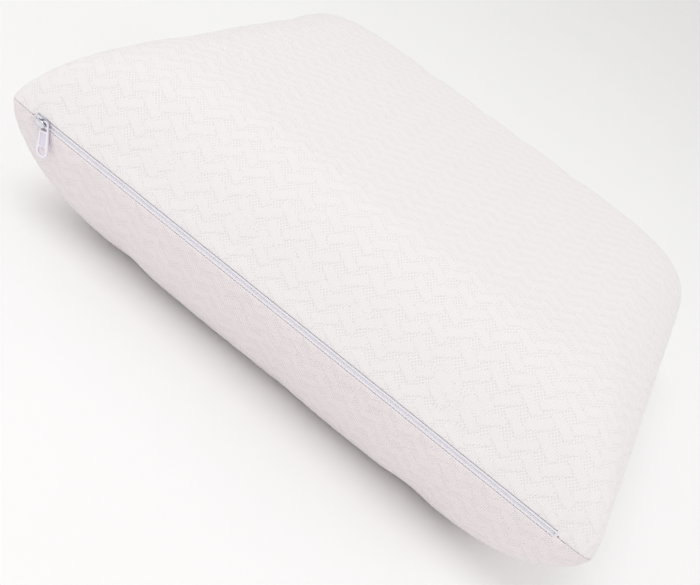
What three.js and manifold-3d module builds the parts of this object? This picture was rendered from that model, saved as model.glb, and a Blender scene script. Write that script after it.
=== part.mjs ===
// A bed pillow lying flat: a moulded foam core in a jersey liner, inside a knitted cover
// whose two panels meet in a seam half way up and open along one long edge with a coil zip.
// Millimetres, +Z up, X along the zip, the zip on the -Y side, its slider shut at the -X end.
// The origin is the middle of the flat patch that the pillow rests on.
import * as THREE from "three";
import { ParametricGeometry } from "three/addons/geometries/ParametricGeometry.js";
import { mergeVertices } from "three/addons/utils/BufferGeometryUtils.js";
import Module from "manifold-3d";

const wasm = await Module();
wasm.setup();

// ---- Driving sizes ----
const pillowLength = 500;
const pillowWidth = 430;
const topRise = 71; // from the seam up to the crown
const bottomDrop = 92; // from the seam down to the resting patch

// Roundness: the plan's corners, and the way the surface rolls over from the seam
const cornerReach = 6.5; // corners keep this far inside two crossing side lines
const cornerPower = 2; // lower makes the contours rounder towards the middle
const shoulder = 66; // depth inwards from the seam at which the surface becomes level
const crownPower = 2; // how soon the slope eases on the way to the crown
const edgePower = 1.36; // 2 makes a round edge at the seam, lower makes a sharper one

// Cloth and foam layers
const coverThickness = 2.2;
const linerThickness = 1.2;
const allowanceThickness = 1.2; // the two panel edges turned in together
const allowanceHeight = 7;
const overlockHeight = 3;

// Zip
const closedInset = 24; // from the pillow's closed end to the chain
const openInset = 26;
const coilOuter = 2.9; // from the middle of the chain to a coil's outer side
const coilInner = 0.75;
const coilThickness = 2;
const coilBore = 0.5; // radius of the hollow that holds the filler cord
const stitchWidth = 0.8;
const stitchThickness = 0.35;
const tapeInner = 0.9;
const tapeOuter = 14;
const tapeThickness = 0.6;
const tapeTail = 6; // tape past each end of the chain
const tackLength = 2.5;
const tackThickness = 0.7;

// Slider
const noseLength = 6; // from the slider's middle to its nose
const tailLength = 5.5;
const wingThickness = 1.1;
const flangeThickness = 0.45;
const postWidth = 0.7;
const postLength = 3;
const backWingHalfWidth = 4.4;
const bridgeSpan = 6.8; // between the middles of the bridge's two legs
const bridgeLeg = 1.3;
const bridgeWidth = 2.6;
const springWidth = 1.2;
const springThickness = 0.45;
const springReach = 1; // from the bridge's front leg to the spring's tooth

// Pull tab
const pullLength = 24; // from the leg it turns on to its lower end
const pullThickness = 1.3;
const pullTopRadius = 3.55;
const pullEndRadius = 5.1;
const pullHoleRadius = 3.4;
const pullRim = 1; // width of the bar round the window
const pullWindowLength = 3.9;
const pullPanelStart = 5.4;
const pullPanelLength = 9.6;
const pullPanelHalfWidth = 2.6;
const pullPanelDepth = 0.4;
const pullLean = 14; // degrees from straight down, towards +X

// Clearances
const gap = 0.3; // between pieces that touch
const layerRoom = 0.6; // between one soft layer and the next
const clothClearance = 1.1; // between the cover and the tape or seam that lies against it
const slidingGap = 0.35; // round the slider
const wingRoom = 0.5; // between the slider's back wing and the liner

// Facets
const stations = 48; // round the pillow
const levels = 10; // from the seam to the crown
const levelCrowding = 1.7; // above 1, levels lie closer together near the seam
const overreach = 20; // how far a cutting block passes what it cuts

// ---- Helpers ----

// A closed geometry with shared vertices, no slivers, and its faces turned outwards.
function closed(source) {
  const plain = source.clone();
  plain.deleteAttribute("normal");
  plain.deleteAttribute("uv");
  const merged = mergeVertices(plain, 1e-4);
  const at = merged.getAttribute("position");
  const corner = (i) => new THREE.Vector3().fromBufferAttribute(at, i);
  const kept = [];
  let volume = 0;
  for (let i = 0; i < merged.index.count; i += 3) {
    const [a, b, c] = [0, 1, 2].map((n) => merged.index.getX(i + n));
    if (a === b || b === c || c === a) continue;
    volume += corner(a).dot(corner(b).cross(corner(c)));
    kept.push(a, b, c);
  }
  if (volume < 0) kept.reverse();
  merged.setIndex(kept);
  return merged;
}

function toSolid(geometry) {
  const merged = closed(geometry);
  return new wasm.Manifold(
    new wasm.Mesh({
      numProp: 3,
      vertProperties: new Float32Array(merged.getAttribute("position").array),
      triVerts: new Uint32Array(merged.index.array),
    }),
  );
}

function toGeometry(solid) {
  const mesh = solid.getMesh();
  const geometry = new THREE.BufferGeometry();
  geometry.setAttribute("position", new THREE.BufferAttribute(mesh.vertProperties, mesh.numProp));
  geometry.setIndex(new THREE.BufferAttribute(mesh.triVerts, 1));
  geometry.computeVertexNormals();
  return geometry;
}

// A block between two corners.
function block(low, high) {
  const size = high.map((value, i) => value - low[i]);
  const middle = high.map((value, i) => (value + low[i]) / 2);
  return new THREE.BoxGeometry(...size).translate(...middle);
}

// A flat shape given a thickness, from one height to another.
function plate(shape, from, to, curveSegments = 8) {
  const settings = { depth: to - from, bevelEnabled: false, curveSegments };
  return new THREE.ExtrudeGeometry(shape, settings).translate(0, 0, from);
}

function polygon(points) {
  return new THREE.Shape(points.map(([x, y]) => new THREE.Vector2(x, y)));
}

// ---- The pillow's surface ----

// A skin is the pillow's outer surface drawn in by an inset at the sides and a lift above and below.
function skin(inset, lift) {
  return {
    reachX: pillowLength / 2 - inset + cornerReach,
    reachY: pillowWidth / 2 - inset + cornerReach,
    rise: topRise - lift,
    drop: bottomDrop - lift,
  };
}

function blend(distanceX, distanceY) {
  return (distanceX ** -cornerPower + distanceY ** -cornerPower) ** (-1 / cornerPower);
}

// Half the extent left to one side line when the other side line is a known distance away.
function unblend(distance, other) {
  return (distance ** -cornerPower - other ** -cornerPower) ** (-1 / cornerPower);
}

function deepest(surface) {
  return blend(surface.reachX, surface.reachY) - cornerReach;
}

// Height above (side 1) or below (side -1) the seam at a depth inwards from it.
function heightAt(surface, side, depth) {
  const slope = 1 - Math.min(1, depth / shoulder);
  const full = side > 0 ? surface.rise : surface.drop;
  return full * (1 - slope ** crownPower) ** (1 / edgePower);
}

function depthAt(surface, side, height) {
  const full = side > 0 ? surface.rise : surface.drop;
  return shoulder * (1 - (1 - (height / full) ** edgePower) ** (1 / crownPower));
}

// A point of the plan contour at a depth. Turn runs 0 to 4, one quarter for each corner.
function contourPoint(surface, depth, turn) {
  const quarter = Math.floor(turn) % 4;
  const part = turn - Math.floor(turn);
  const along = quarter % 2 === 0 ? part : 1 - part;
  const distance = cornerReach + depth;
  const shareX = Math.min(1, (distance / surface.reachX) ** cornerPower);
  const shareY = Math.min(1, (distance / surface.reachY) ** cornerPower);
  const first = (shareY / Math.max(1 - shareY, 1e-9)) ** (1 / cornerPower);
  const last = (Math.max(1 - shareX, 1e-9) / shareX) ** (1 / cornerPower);
  const ratio = (first * (last / first) ** along) ** cornerPower;
  const x = surface.reachX - distance * (1 + ratio) ** (1 / cornerPower);
  const y = surface.reachY - distance * (1 + 1 / ratio) ** (1 / cornerPower);
  const signX = quarter === 1 || quarter === 2 ? -1 : 1;
  const signY = quarter > 1 ? -1 : 1;
  return [signX * Math.max(x, 0), signY * Math.max(y, 0)];
}

// Where the front of a skin stands at a height from the seam and a place along X.
function frontY(surface, side, height, x) {
  const distance = cornerReach + depthAt(surface, side, height);
  return unblend(distance, surface.reachX - Math.abs(x)) - surface.reachY;
}

// Depths from a rim height to the middle, closer together near the rim.
function depthOf(surface, side, rim, step) {
  const rimDepth = depthAt(surface, side, rim);
  return rimDepth + (deepest(surface) - rimDepth) * (step / levels) ** levelCrowding;
}

// One panel: from the middle out to the seam on the outer skin, and back on the inner one.
function panel(side, outer, inner) {
  const rows = 2 * levels + 1;
  const point = (u, v, target) => {
    const row = Math.round(v * rows);
    const surface = row <= levels ? outer : inner;
    const step = row <= levels ? levels - row : row - levels - 1;
    const depth = depthOf(surface, side, gap / 2, step);
    const [x, y] = contourPoint(surface, depth, 4 * u);
    target.set(x, y, bottomDrop + side * heightAt(surface, side, depth));
  };
  return new ParametricGeometry(point, stations, rows);
}

// A whole solid inside one skin.
function core(surface) {
  const rows = 2 * levels;
  const point = (u, v, target) => {
    const row = Math.round(v * rows);
    const side = row < levels ? 1 : -1;
    const step = Math.abs(row - levels);
    const depth = depthOf(surface, side, 0, step);
    const [x, y] = contourPoint(surface, depth, 4 * u);
    target.set(x, y, bottomDrop + side * heightAt(surface, side, depth));
  };
  return new ParametricGeometry(point, stations, rows);
}

// A band between two skins and two heights below the seam, all the way round.
function band(outer, inner, high, low) {
  const corners = [
    [outer, high],
    [outer, low],
    [inner, low],
    [inner, high],
    [outer, high],
  ];
  const point = (u, v, target) => {
    const [surface, height] = corners[Math.round(v * 4)];
    const depth = depthAt(surface, -1, height);
    const [x, y] = contourPoint(surface, depth, 4 * u);
    target.set(x, y, bottomDrop - height);
  };
  return new ParametricGeometry(point, stations, 4);
}

// ---- Layers, worked out from the sizes ----
const coverOuter = skin(0, 0);
const coverInner = skin(coverThickness, coverThickness);
const slotHalf = coilOuter + slidingGap + flangeThickness + slidingGap / 2;
const chainStart = closedInset - pillowLength / 2;
const chainStop = pillowLength / 2 - openInset;
const tapeStart = chainStart - tapeTail;
const tapeStop = chainStop + tapeTail;
const tapeReach = Math.max(-tapeStart, tapeStop);

// The tape lies flat behind the chain, then follows the inner side of the panels.
const tapeFlat = coilOuter + slidingGap + flangeThickness + slidingGap;
const tapeFace = frontY(coverInner, 1, tapeFlat, tapeReach) + clothClearance;
const tapeMiddle = (tapeFlat + tapeOuter) / 2;
const backWingY = tapeFace + tapeThickness + slidingGap;
const linerInset = backWingY + wingThickness + wingRoom + pillowWidth / 2;
const linerLift = coverThickness + layerRoom;
const linerOuter = skin(linerInset, linerLift);
const linerInner = skin(linerInset + linerThickness, linerLift + linerThickness);
const foamInset = linerInset + linerThickness + layerRoom;
const foamSkin = skin(foamInset, linerLift + linerThickness + layerRoom);
const allowanceOuter = skin(coverThickness + clothClearance, coverThickness);
const allowanceInner = skin(
  coverThickness + clothClearance + allowanceThickness,
  coverThickness + allowanceThickness,
);

// Heights outwards from the tape's face
const coilBack = gap;
const coilFront = coilBack + coilThickness;
const stitchFront = coilFront + gap + stitchThickness;
const wingBack = stitchFront + slidingGap;
const wingFront = wingBack + wingThickness;
const pullBack = wingFront + gap;
const pullFront = pullBack + pullThickness;
const bridgeRoof = pullFront + gap;
const bridgeTop = bridgeRoof + bridgeLeg;
const springX = -bridgeSpan / 2 + bridgeLeg / 2 + springReach;
const sliderRest = chainStart + tackLength + slidingGap + noseLength;

// ---- Soft pieces ----
function coverPanel(side) {
  const cut = toSolid(
    block(
      [chainStart - gap, -pillowWidth, bottomDrop - slotHalf],
      [chainStop + gap, 0, bottomDrop + slotHalf],
    ),
  );
  return toGeometry(toSolid(panel(side, coverOuter, coverInner)).subtract(cut));
}

function linerPanel(side) {
  return closed(panel(side, linerOuter, linerInner));
}

// A band inside the seam that runs from one end of the tape round to the other.
function seamBand(high, low) {
  const opening = toSolid(
    block(
      [tapeStart - gap, -pillowWidth, 0],
      [tapeStop + gap, -pillowWidth / 2 + overreach, 2 * bottomDrop],
    ),
  );
  return toGeometry(toSolid(band(allowanceOuter, allowanceInner, high, low)).subtract(opening));
}

// ---- Zip ----

// Pieces of the chain are drawn in a section (outwards, up) and run along X.
// The section of the upper half is drawn, and the lower half mirrors it.
function strip(points, side, from, to) {
  const section = polygon(points.map(([out, up]) => [tapeFace - out, side * up]));
  return new THREE.ExtrudeGeometry(section, { depth: to - from, bevelEnabled: false });
}

function tapeStrip(side) {
  const follow = (up) => tapeFace - frontY(coverInner, side, up, tapeReach) - clothClearance;
  const points = [
    [0, tapeInner],
    [0, tapeFlat],
    [follow(tapeMiddle), tapeMiddle],
    [follow(tapeOuter), tapeOuter],
    [follow(tapeOuter) - tapeThickness, tapeOuter],
    [follow(tapeMiddle) - tapeThickness, tapeMiddle],
    [-tapeThickness, tapeFlat],
    [-tapeThickness, tapeInner],
  ];
  return strip(points, side, tapeStart, tapeStop);
}

function coilStrip(side) {
  const middle = [(coilBack + coilFront) / 2, (coilInner + coilOuter) / 2];
  const section = new THREE.Shape();
  const halfUp = (coilOuter - coilInner) / 2;
  section.absellipse(tapeFace - middle[0], side * middle[1], coilThickness / 2, halfUp, 0, 2 * Math.PI);
  const bore = new THREE.Path();
  bore.absarc(tapeFace - middle[0], side * middle[1], coilBore, 0, 2 * Math.PI);
  section.holes.push(bore);
  const settings = { depth: chainStop - chainStart, bevelEnabled: false, curveSegments: 10 };
  return new THREE.ExtrudeGeometry(section, settings);
}

function fillerCord(side) {
  const radius = coilBore - gap / 2;
  const middle = [(coilBack + coilFront) / 2, (coilInner + coilOuter) / 2];
  const section = new THREE.Shape();
  section.absarc(tapeFace - middle[0], side * middle[1], radius, 0, 2 * Math.PI);
  const settings = { depth: chainStop - chainStart, bevelEnabled: false, curveSegments: 8 };
  return new THREE.ExtrudeGeometry(section, settings);
}

function stitchStrip(side) {
  const middle = (coilInner + coilOuter) / 2;
  const points = [
    [coilFront + gap, middle - stitchWidth / 2],
    [coilFront + gap, middle + stitchWidth / 2],
    [stitchFront, middle + stitchWidth / 4],
    [stitchFront, middle - stitchWidth / 4],
  ];
  const inset = tackLength + gap;
  return strip(points, side, chainStart + inset, chainStop - inset);
}

// A bar of thread across both coils that closes the chain's end.
function barTack() {
  const front = coilFront + gap + tackThickness;
  const section = polygon([
    [tapeFace - coilFront - gap, -coilOuter],
    [tapeFace - coilFront - gap, coilOuter],
    [tapeFace - front, coilOuter - gap],
    [tapeFace - front, gap - coilOuter],
  ]);
  return new THREE.ExtrudeGeometry(section, { depth: tackLength, bevelEnabled: false });
}

// ---- Slider, drawn with x along the chain, y across it and z outwards from the tape's face ----

// Wide at the nose, where the two coils enter, and narrower at the tail.
function wingShape(halfWidth) {
  const shape = new THREE.Shape();
  const shoulderX = -noseLength + halfWidth * 0.6;
  shape.moveTo(-noseLength, halfWidth * 0.45);
  shape.quadraticCurveTo(-noseLength + 0.2, halfWidth, shoulderX, halfWidth);
  shape.lineTo(tailLength - halfWidth * 0.4, halfWidth);
  shape.quadraticCurveTo(tailLength, halfWidth, tailLength, halfWidth * 0.6);
  shape.lineTo(tailLength, -halfWidth * 0.6);
  shape.quadraticCurveTo(tailLength, -halfWidth, tailLength - halfWidth * 0.4, -halfWidth);
  shape.lineTo(shoulderX, -halfWidth);
  shape.quadraticCurveTo(-noseLength + 0.2, -halfWidth, -noseLength, -halfWidth * 0.45);
  shape.quadraticCurveTo(-noseLength + 1.2, 0, -noseLength, halfWidth * 0.45);
  return shape;
}

function sliderBody() {
  const flangeInner = coilOuter + slidingGap;
  const flangeOuter = flangeInner + flangeThickness;
  const backFront = -tapeThickness - slidingGap;
  let body = toSolid(plate(wingShape(flangeOuter), wingBack, wingFront, 4));
  body = body.add(
    toSolid(plate(wingShape(backWingHalfWidth), backFront - wingThickness, backFront, 4)),
  );
  const post = block(
    [-noseLength + 1, -postWidth / 2, backFront - wingThickness / 2],
    [-noseLength + 1 + postLength, postWidth / 2, wingBack + wingThickness / 2],
  );
  body = body.add(toSolid(post));
  for (const side of [-1, 1]) {
    const low = [-noseLength / 2, side > 0 ? flangeInner : -flangeOuter, slidingGap];
    const high = [tailLength / 2, side > 0 ? flangeOuter : -flangeInner, wingBack + wingThickness / 2];
    body = body.add(toSolid(block(low, high)));
  }
  const toothHole = block(
    [springX - springThickness - gap, -springWidth / 2 - gap, wingBack - gap],
    [springX + gap, springWidth / 2 + gap, wingFront + gap],
  );
  return toGeometry(body.subtract(toSolid(toothHole)));
}

// The bridge is an arch along the slider, with a leg at each end.
function bridge() {
  const outer = bridgeSpan / 2 + bridgeLeg / 2;
  const inner = bridgeSpan / 2 - bridgeLeg / 2;
  const foot = wingFront + gap / 2;
  const round = bridgeLeg * 1.4;
  const arch = new THREE.Shape();
  arch.moveTo(-outer, foot);
  arch.lineTo(-outer, bridgeTop - round);
  arch.quadraticCurveTo(-outer, bridgeTop, -outer + round, bridgeTop);
  arch.lineTo(outer - round, bridgeTop);
  arch.quadraticCurveTo(outer, bridgeTop, outer, bridgeTop - round);
  arch.lineTo(outer, foot);
  arch.lineTo(inner, foot);
  arch.lineTo(inner, bridgeRoof);
  arch.lineTo(-inner, bridgeRoof);
  arch.lineTo(-inner, foot);
  const settings = { depth: bridgeWidth, bevelEnabled: false, curveSegments: 5 };
  return new THREE.ExtrudeGeometry(arch, settings)
    .translate(0, 0, -bridgeWidth / 2)
    .rotateX(Math.PI / 2);
}

// The locking spring hangs under the bridge, and its tooth reaches down through the wing.
function lockSpring() {
  const top = bridgeRoof - gap;
  const left = -bridgeSpan / 2 + bridgeLeg / 2 + gap;
  const shape = polygon([
    [left, top],
    [springX, top],
    [springX, stitchFront + gap],
    [springX - springThickness, stitchFront + gap],
    [springX - springThickness, top - springThickness],
    [left, top - springThickness],
  ]);
  return new THREE.ExtrudeGeometry(shape, { depth: springWidth, bevelEnabled: false })
    .translate(0, 0, -springWidth / 2)
    .rotateX(Math.PI / 2);
}

// The tab hangs from the bridge's rear leg. It is drawn hanging along -y from that leg.
function pullTab() {
  const endY = -pullLength + pullEndRadius;
  const shape = new THREE.Shape();
  shape.absarc(0, 0, pullTopRadius, Math.PI, 0, true);
  shape.lineTo(pullEndRadius, endY);
  shape.absarc(0, endY, pullEndRadius, 0, -Math.PI, true);
  const windowHalf = pullTopRadius - pullRim;
  const window = new THREE.Path();
  window.absarc(0, 0, windowHalf, 0, Math.PI, false);
  window.lineTo(-windowHalf, -pullWindowLength);
  window.lineTo(windowHalf, -pullWindowLength);
  const hole = new THREE.Path();
  hole.absarc(0, endY, pullHoleRadius, 0, 2 * Math.PI, false);
  shape.holes.push(window, hole);
  const recess = block(
    [-pullPanelHalfWidth, -pullPanelStart - pullPanelLength, pullFront - pullPanelDepth],
    [pullPanelHalfWidth, -pullPanelStart, pullFront + overreach],
  );
  const tab = toSolid(plate(shape, pullBack, pullFront, 12));
  return toGeometry(tab.subtract(toSolid(recess)));
}

// ---- Materials ----
function finish(color, roughness, metalness = 0) {
  return new THREE.MeshStandardMaterial({ color, roughness, metalness });
}
const jacquard = finish(0xf1eeee, 0.95);
const underside = finish(0xebe6e7, 0.95);
const jersey = finish(0xf4f4f2, 0.9);
const foam = finish(0xf3ecd8, 0.85);
const tapeWeave = finish(0xeeecf2, 0.9);
const nylon = finish(0xeceaf1, 0.5);
const thread = finish(0xf5f4f8, 0.8);
const chrome = finish(0xc9cbd2, 0.15, 1);
const enamel = finish(0xdcd6e4, 0.3);

// ---- Assembly ----
const pillow = new THREE.Group();

function place(parent, name, geometry, material) {
  const mesh = new THREE.Mesh(geometry, material);
  mesh.name = name;
  parent.add(mesh);
  return mesh;
}

const foamPiece = closed(core(foamSkin));
place(pillow, "foam_core", foamPiece, foam);
place(pillow, "liner_top", linerPanel(1), jersey);
place(pillow, "liner_bottom", linerPanel(-1), jersey);
place(pillow, "cover_top_panel", coverPanel(1), jacquard);
place(pillow, "cover_bottom_panel", coverPanel(-1), underside);
place(pillow, "seam_allowance", seamBand(gap, allowanceHeight), jacquard);
const overlockTop = allowanceHeight + gap;
place(pillow, "overlock_thread", seamBand(overlockTop, overlockTop + overlockHeight), thread);

// The chain's sections stand upright at the seam and run along +X.
const chain = new THREE.Group();
chain.applyMatrix4(
  new THREE.Matrix4().makeBasis(
    new THREE.Vector3(0, 1, 0),
    new THREE.Vector3(0, 0, 1),
    new THREE.Vector3(1, 0, 0),
  ),
);
chain.position.z = bottomDrop;
pillow.add(chain);
for (const [side, half] of [
  [1, "upper"],
  [-1, "lower"],
]) {
  place(chain, `zip_tape_${half}`, tapeStrip(side), tapeWeave).position.z = tapeStart;
  place(chain, `zip_coil_${half}`, coilStrip(side), nylon).position.z = chainStart;
  place(chain, `coil_cord_${half}`, fillerCord(side), thread).position.z = chainStart;
  place(chain, `coil_stitching_${half}`, stitchStrip(side), thread).position.z =
    chainStart + tackLength + gap;
}
place(chain, "bar_tack_closed_end", barTack(), thread).position.z = chainStart;
place(chain, "bar_tack_open_end", barTack(), thread).position.z = chainStop - tackLength;

// The slider's own frame: x along the chain, y up, z outwards.
const slider = new THREE.Group();
slider.position.set(sliderRest, tapeFace, bottomDrop);
slider.rotation.x = Math.PI / 2;
pillow.add(slider);
place(slider, "slider_body", sliderBody(), chrome);
place(slider, "slider_bridge", bridge(), chrome);
place(slider, "lock_spring", lockSpring(), chrome);
const tab = place(slider, "pull_tab", pullTab(), enamel);
tab.position.x = bridgeSpan / 2;
tab.rotation.z = THREE.MathUtils.degToRad(pullLean);

export default pillow;
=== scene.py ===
"""A moulded foam bed pillow in a zip-off knitted cover. Metres, +Z up, the zip on the -Y side."""

import math

import bmesh
import bpy
import numpy as np
from mathutils import Matrix, Vector


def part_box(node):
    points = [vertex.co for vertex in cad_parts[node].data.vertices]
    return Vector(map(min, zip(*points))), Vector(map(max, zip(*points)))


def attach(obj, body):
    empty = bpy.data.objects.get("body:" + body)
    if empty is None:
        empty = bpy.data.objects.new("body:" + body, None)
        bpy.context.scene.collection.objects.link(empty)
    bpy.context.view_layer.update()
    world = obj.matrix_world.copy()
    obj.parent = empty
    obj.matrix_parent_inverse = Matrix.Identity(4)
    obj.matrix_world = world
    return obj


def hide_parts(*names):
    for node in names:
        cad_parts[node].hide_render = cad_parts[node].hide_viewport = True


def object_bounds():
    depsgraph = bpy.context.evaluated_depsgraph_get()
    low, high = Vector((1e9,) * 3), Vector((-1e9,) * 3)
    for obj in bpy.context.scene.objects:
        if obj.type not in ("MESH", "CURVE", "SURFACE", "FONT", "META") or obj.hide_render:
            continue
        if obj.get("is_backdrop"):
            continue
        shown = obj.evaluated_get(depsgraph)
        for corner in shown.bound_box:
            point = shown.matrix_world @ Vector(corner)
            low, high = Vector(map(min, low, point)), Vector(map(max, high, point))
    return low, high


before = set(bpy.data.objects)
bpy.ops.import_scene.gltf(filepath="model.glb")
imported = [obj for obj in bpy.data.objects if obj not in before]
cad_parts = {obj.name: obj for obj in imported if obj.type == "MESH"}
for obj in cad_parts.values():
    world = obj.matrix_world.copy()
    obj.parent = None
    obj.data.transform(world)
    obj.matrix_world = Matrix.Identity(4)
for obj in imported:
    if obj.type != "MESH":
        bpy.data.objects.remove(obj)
cad_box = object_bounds()
MM = 0.001

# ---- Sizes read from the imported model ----
top_low, top_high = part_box("cover_top_panel")
bottom_low, bottom_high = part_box("cover_bottom_panel")
SEAM_HEIGHT = (top_low[2] + bottom_high[2]) / 2
HALF_LENGTH = top_high[0]
HALF_WIDTH = top_high[1]
RISE = top_high[2] - SEAM_HEIGHT
DROP = SEAM_HEIGHT - bottom_low[2]
coil_low, coil_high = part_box("zip_coil_upper")
CHAIN_START = coil_low[0]
CHAIN_STOP = coil_high[0]
PULL_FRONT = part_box("pull_tab")[0][1]

# ---- The pillow's surface ----
CORNER_REACH = 6.5 * MM
CORNER_POWER = 2.0
SHOULDER = 66 * MM  # depth inwards from the seam where the flanks end
ARM_POINTS = 120  # points along each arm of a quarter outline
PROFILE_POINTS = 4000  # points along the profile, from which its rings are spaced
FLANK_POWER = 2.0
EDGE_POWER = 1.36
CROWN_SHARE = 0.02  # part of the rise that keeps climbing to the middle

# ---- The sewn edges ----
FOLD_RADIUS = 1.1 * MM
FOLD_ROWS = 8
SEAM_GAP = 0.18 * MM
ZIP_HALF_GAP = 3.35 * MM
ZIP_GAP_REACH = 24 * MM  # height over which the cloth parts round the zip
ZIP_END_TAPER = 1 * MM
ZIP_END_OPEN = 3 * MM
LIP_SINK = 1.2 * MM  # how far the chain draws the cloth's edges in
WALL = 2 * FOLD_RADIUS
INNER_ROWS = (0.02, 0.08, 0.2, 0.4, 0.7)  # places of the inner side's rows, as shares of the way in

# ---- The cloth ----
RINGS = 230  # rings of quads from the middle to the seam
CELL_ALONG = 24.7  # the knit's repeat and bars, in millimetres of flat cloth
CELL_ACROSS = 16.1
BAR_LENGTH = 18.5
BAR_WIDTH = 7.2
BAR_HEIGHT = 0.24 * MM
BAR_SHOULDER = 1.3  # softness of a bar's raised edge
BAR_AT_SEAM = 0.25  # part of a bar's height that is left at the seam
BAR_FADE = (2 * MM, 12 * MM)  # heights between which the bars grow from the seam
PRESSED_FLAT = 4 * MM  # height over which the floor's pressure on the bars fades
BAR_TURNS = (-28, 38)  # slants of the two kinds of bar, in degrees
WALE = 1.35  # spacing of the knit's columns

# ---- The cloth's settling, over the coarse bag ----
BAG_RINGS = 40
BAG_PRESSURE = 4
BAG_FRAMES = 20
BAG_QUALITY = 6
BAG_MASS = 0.25
BAG_STRETCH = 12
BAG_BEND = 0.4
CLOTH_EASE = 0.02  # how much wider the cloth is than the foam it covers
CLOTH_SHARE = 0.6  # part of the bag's movement that the cloth keeps
CLOTH_LIMIT = 3 * MM  # furthest that the cloth moves from its moulded shape
GATHER_DEPTH = 0.9 * MM
GATHER_PITCH = 9 * MM
GATHER_REACH = 8 * MM
GATHER_HEIGHT = 14 * MM
GATHER_OFFSET = 3 * MM  # from the chain's end to the deepest fold
GATHER_START = 4 * MM  # height over which the folds grow from the seam
GATHER_SIDE = (0.5, 0.9)  # shares of the half width between which the folds set in
SEAM_HOLD = 16 * MM  # height over which the seam keeps the cloth in place
FLOOR_HOLD = 12 * MM  # height over which the floor keeps the cloth in place

# ---- The zip ----
COIL_PITCH = 1.27 * MM
COIL_WIRE = 0.31 * MM
COIL_CROSSING = 0.35 * MM  # how far each coil reaches past the middle into the other
FIRST_TURN = 0.3  # pitches from the chain's start to the first turn
CORE_SINK = 0.2 * MM  # how far the filled core lies below the coil's wires
CORE_GAP = 0.02 * MM  # between the core and the middle of the chain
CORD_SIDES = 16
CORD_TIP = 0.5  # a long bar's radius at its ends, as a share of that between them
STITCH_PITCH = 2.54 * MM
STITCH_WIRE = 0.3 * MM
FIRST_LINK = 0.2  # pitches from the chain's start to the first stitch
LINK_WIDTH = 1.5 * MM
LINK_LENGTH = 1.25 * STITCH_PITCH
LINK_OPENING = 0.9 * math.pi  # how far a loop closes on itself at its tail
LINK_TAIL = 0.6  # a loop's width at its tail, as a share of its full width
LINK_ARCH = 0.8 * STITCH_WIRE
LINK_SEAT = 1.6 * STITCH_WIRE  # from the stitching's front back to the loops' wires
BED_SEAT = 0.25 * STITCH_WIRE  # from the stitching's front back to the ridge below the loops
BED_FLATTEN = 0.7
TACK_PITCH = 0.36 * MM
TACK_WIRE = 0.6 * TACK_PITCH
TACK_BOW = 0.35  # a low power gives a strand square shoulders
WIRE_SIDES = 6
TURN_POINTS = 11  # points along one coil turn or one stitch
STRAND_POINTS = 9

# ---- The hard pieces' edges ----
MERGE_REACH = 0.004 * MM
FLAT_ANGLE = math.radians(1)
EDGE_ANGLE = math.radians(35)
SHARP_ANGLE = math.radians(40)
EDGE_STEPS = 3
BODY_EDGE = 0.45 * MM
BRIDGE_EDGE = 0.55 * MM
TAB_EDGE = 0.16 * MM

# ---- The slider's crown ----
CROWN_LIP = 0.5 * MM  # overhang past the bridge's legs
CROWN_HALF_WIDTH = 3.1 * MM
CROWN_WAIST = 0.1  # how much narrower the crown is halfway along
WAIST_POWER = 8
CROWN_THICKNESS = 1.3 * MM
CROWN_RISE = 1.1 * MM
CROWN_BELLY = 0.3 * CROWN_THICKNESS
CROWN_FULLNESS = 0.8  # below 1 the dome is fuller than an ellipse
CROWN_TURNS = 48
CROWN_ROWS = 16
CROWN_POLE = 0.04  # share of the half turn that is left flat at each pole

# ---- Material values ----
RIB_STEP = 0.75  # how far a bar's edge steps over a pair of the knit's columns
BAR_SOFTNESS = 0.45
COURSE = 2.2 * WALE  # spacing of the knit's pits up the cloth
PIT_DEPTH = 0.6
MOTTLE_SCALE = 22
GRAIN_SCALE = 1400
TWILL_PITCH = 0.9 * MM
JERSEY_COURSES = 900
FOAM_CELLS = 300
THREAD_PLIES = 700
RECESS_START = PULL_FRONT + 0.1 * MM  # where the tab's sunk panel begins
RECESS_BLEND = 0.15 * MM


# ---- The pillow's surface and its plan outlines ----
def flank(share):
    """Rise from 0 at the seam to 1 at the shoulder."""
    return (1 - (1 - np.clip(share, 0, 1)) ** FLANK_POWER) ** (1 / EDGE_POWER)


def blend_distance(to_end, to_side):
    return (to_end**-CORNER_POWER + to_side**-CORNER_POWER) ** (-1 / CORNER_POWER)


DEEPEST = blend_distance(HALF_LENGTH + CORNER_REACH, HALF_WIDTH + CORNER_REACH) - CORNER_REACH


def height(depth, side):
    """Height above the seam at a depth inwards, for the top (1) or the underside (-1)."""
    if side < 0:
        return -DROP * flank(depth / SHOULDER)
    inner = np.clip(depth / DEEPEST, 0, 1)
    dome = 1 - (1 - inner) ** 2
    return RISE * ((1 - CROWN_SHARE) * flank(depth / SHOULDER) + CROWN_SHARE * dome)


def depth_at(x, y):
    to_end = np.maximum(HALF_LENGTH + CORNER_REACH - np.abs(x), 1e-6)
    to_side = np.maximum(HALF_WIDTH + CORNER_REACH - np.abs(y), 1e-6)
    return np.maximum(blend_distance(to_end, to_side) - CORNER_REACH, 0)


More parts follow.
